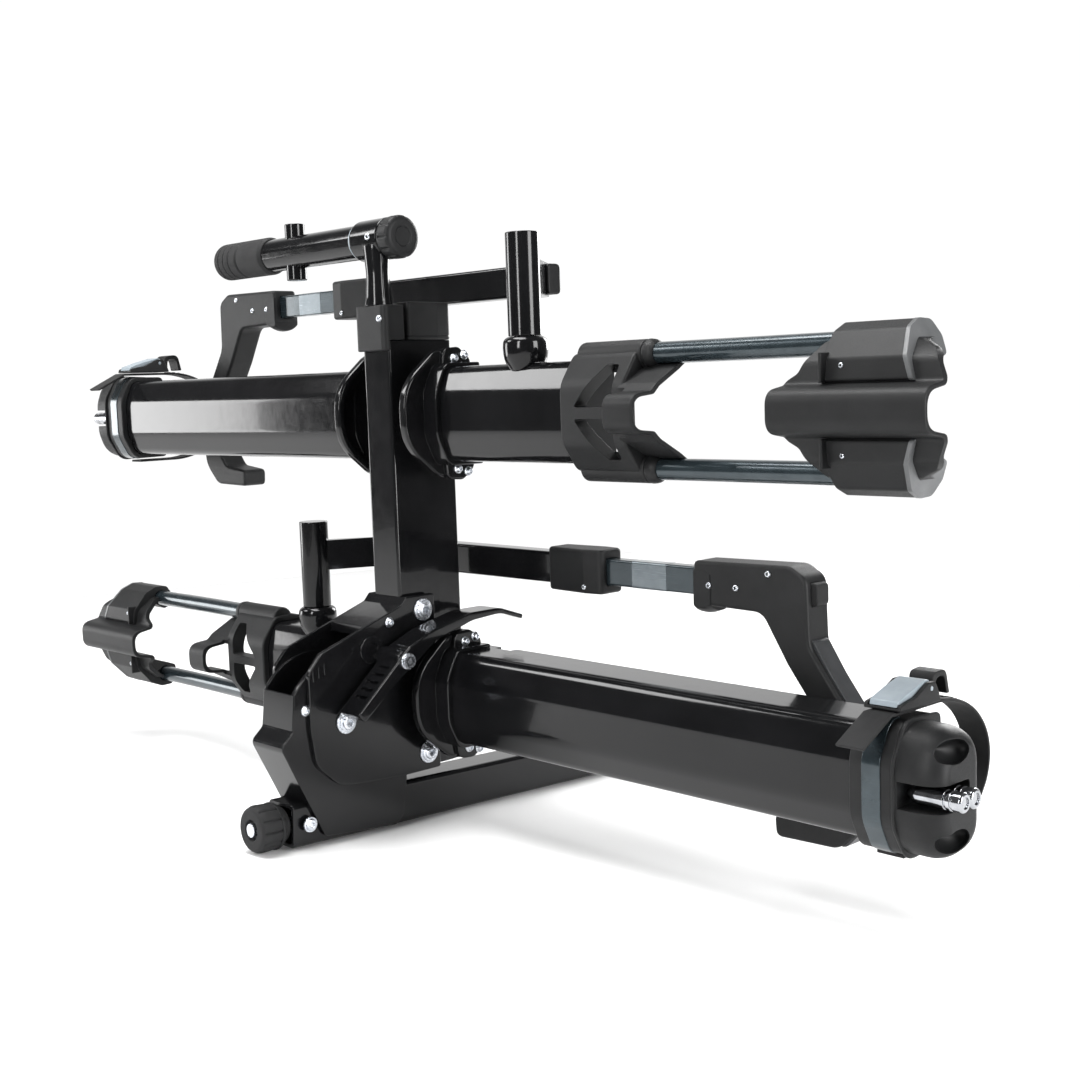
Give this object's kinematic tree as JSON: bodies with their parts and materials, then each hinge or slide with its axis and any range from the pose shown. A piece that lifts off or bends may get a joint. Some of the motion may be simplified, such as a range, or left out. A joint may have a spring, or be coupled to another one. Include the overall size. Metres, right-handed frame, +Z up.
{
  "type": "hitch mounted bike rack",
  "caption": "Folding two-bicycle platform rack for a 2 in hitch receiver, folded up: spine, two wheel trays, hooked arms, straps, foot pedal and clamp stand.",
  "frame": {"origin": "centre of the drawbar's underside, below the middle of its hitch-pin hole", "axes": "+X along the wheel trays to the right seen from behind the vehicle, +Y along the drawbar into the receiver towards the vehicle, +Z up"},
  "size_m": [1.552, 0.691, 0.7508],
  "materials": {
    "black_paint": "gloss black powder coat",
    "dark_plastic": "satin moulded, fine grain",
    "rubber": "matte",
    "zinc": "bright zinc plate",
    "chrome": "polished",
    "slate_metal": "gloss dark blue-grey metallic",
    "grey_plastic": "light blue-grey"
  },
  "bodies": {
    "drawbar": {"drawbar_tube": "black_paint", "hitch_bracket": "black_paint", "bracket_bolt": "zinc", "fold_pin": "zinc"},
    "mast": {"pivot_arm": "black_paint", "spine_tube": "black_paint", "spine_cap": "dark_plastic", "spine_bolt_upper": "zinc", "spine_bolt_lower": "zinc", "pedal_bolt": "zinc", "stand_socket": "dark_plastic", "lower_tray_cradle_side": "black_paint", "lower_tray_strap_side": "black_paint", "lower_collar_cradle_side": "black_paint", "lower_collar_strap_side": "black_paint", "lower_cradle_hub": "dark_plastic", "lower_cradle_rail_top": "slate_metal", "lower_cradle_rail_bottom": "slate_metal", "lower_cradle_pad": "dark_plastic", "lower_end_collar": "dark_plastic", "lower_end_cap": "dark_plastic", "lower_strap": "rubber", "lower_buckle": "dark_plastic", "lower_arm_mount": "black_paint", "upper_tray_cradle_side": "black_paint", "upper_tray_strap_side": "black_paint", "upper_collar_cradle_side": "black_paint", "upper_collar_strap_side": "black_paint", "upper_cradle_hub": "dark_plastic", "upper_cradle_rail_top": "slate_metal", "upper_cradle_rail_bottom": "slate_metal", "upper_cradle_pad": "dark_plastic", "upper_end_collar": "dark_plastic", "upper_end_cap": "dark_plastic", "upper_strap": "rubber", "upper_buckle": "dark_plastic", "upper_arm_mount": "black_paint"},
    "cam": {"cam_rod": "zinc", "cam_knob": "rubber"},
    "wedge": {"cam_wedge": "zinc"},
    "pedal": {"foot_pedal": "black_paint"},
    "latch": {"latch_plunger": "zinc"},
    "stand_neck": {"stand_neck": "black_paint"},
    "stand_tube": {"stand_tube": "black_paint", "stand_sleeve": "rubber"},
    "stand_knob": {"stand_knob": "dark_plastic"},
    "lower_arm": {"lower_arm_base": "black_paint", "lower_ratchet_housing": "dark_plastic"},
    "lower_slider": {"lower_arm_slider": "slate_metal", "lower_wheel_hook": "dark_plastic"},
    "lower_button": {"lower_release_button": "rubber"},
    "lower_lever": {"lower_buckle_lever": "grey_plastic"},
    "lower_lock": {"lower_lock_head": "chrome"},
    "upper_arm": {"upper_arm_base": "black_paint", "upper_ratchet_housing": "dark_plastic"},
    "upper_slider": {"upper_arm_slider": "slate_metal", "upper_wheel_hook": "dark_plastic"},
    "upper_button": {"upper_release_button": "rubber"},
    "upper_lever": {"upper_buckle_lever": "grey_plastic"},
    "upper_lock": {"upper_lock_head": "chrome"}
  },
  "joints": [
    {"name": "mast_fold", "type": "hinge", "parent": "drawbar", "child": "mast", "pos_m": [0, -0.467, 0.141], "axis": [1, 0, 0], "range_deg": [0, 120]},
    {"name": "pedal_press", "type": "hinge", "parent": "mast", "child": "pedal", "pos_m": [0.06, -0.41044, 0.21202], "axis": [1, 0, 0], "range_deg": [0, 12], "stiffness_Nm_per_rad": 6},
    {"name": "latch_slide", "type": "slide", "parent": "mast", "child": "latch", "axis": [-1, 0, 0], "range_m": [0, 0.012]},
    {"name": "cam_turn", "type": "hinge", "parent": "drawbar", "child": "cam", "pos_m": [0, -0.59, 0.0254], "axis": [0, -1, 0], "range_deg": [0, 1080]},
    {"name": "wedge_slide", "type": "slide", "parent": "drawbar", "child": "wedge", "axis": [0, -0.4058, 0.914], "range_m": [0, 0.003]},
    {"name": "stand_swivel", "type": "hinge", "parent": "mast", "child": "stand_neck", "pos_m": [0, -0.37983, 0.65335], "axis": [0, -0.0349, 0.9994], "range_deg": [0, 180]},
    {"name": "stand_roll", "type": "hinge", "parent": "stand_neck", "child": "stand_tube", "pos_m": [-0.1, -0.36986, 0.71174], "axis": [1, 0, 0], "range_deg": [-90, 90]},
    {"name": "stand_knob_turn", "type": "hinge", "parent": "stand_neck", "child": "stand_knob", "pos_m": [0.02, -0.36986, 0.71174], "axis": [1, 0, 0], "continuous": true},
    {"name": "lower_arm_swing", "type": "hinge", "parent": "mast", "child": "lower_arm", "pos_m": [-0.216, -0.32939, 0.2979], "axis": [0, -0.0349, 0.9994], "range_deg": [0, 150]},
    {"name": "lower_arm_extend", "type": "slide", "parent": "lower_arm", "child": "lower_slider", "axis": [1, 0, 0], "range_m": [-0.1, 0.06]},
    {"name": "lower_button_press", "type": "slide", "parent": "lower_slider", "child": "lower_button", "axis": [-1, 0, 0], "range_m": [0, 0.003], "stiffness_N_per_m": 400},
    {"name": "lower_lever_lift", "type": "hinge", "parent": "mast", "child": "lower_lever", "pos_m": [0.689, -0.28946, 0.24326], "axis": [-1, 0, 0], "range_deg": [0, 60], "stiffness_Nm_per_rad": 0.05},
    {"name": "lower_lock_pull", "type": "slide", "parent": "mast", "child": "lower_lock", "axis": [1, 0, 0], "range_m": [0, 0.03]},
    {"name": "upper_arm_swing", "type": "hinge", "parent": "mast", "child": "upper_arm", "pos_m": [0.216, -0.34136, 0.64069], "axis": [0, 0.0349, -0.9994], "range_deg": [0, 150]},
    {"name": "upper_arm_extend", "type": "slide", "parent": "upper_arm", "child": "upper_slider", "axis": [-1, 0, 0], "range_m": [-0.1, 0.06]},
    {"name": "upper_button_press", "type": "slide", "parent": "upper_slider", "child": "upper_button", "axis": [1, 0, 0], "range_m": [0, 0.003], "stiffness_N_per_m": 400},
    {"name": "upper_lever_lift", "type": "hinge", "parent": "mast", "child": "upper_lever", "pos_m": [-0.689, -0.30143, 0.58605], "axis": [-1, 0, 0], "range_deg": [0, 60], "stiffness_Nm_per_rad": 0.05},
    {"name": "upper_lock_pull", "type": "slide", "parent": "mast", "child": "upper_lock", "axis": [-1, 0, 0], "range_m": [0, 0.03]}
  ],
  "couplings": [
    {"joint": "latch_slide", "follows": "pedal_press", "m_per_rad": 0.057},
    {"joint": "cam_turn", "follows": "wedge_slide", "rad_per_m": 6280}
  ]
}
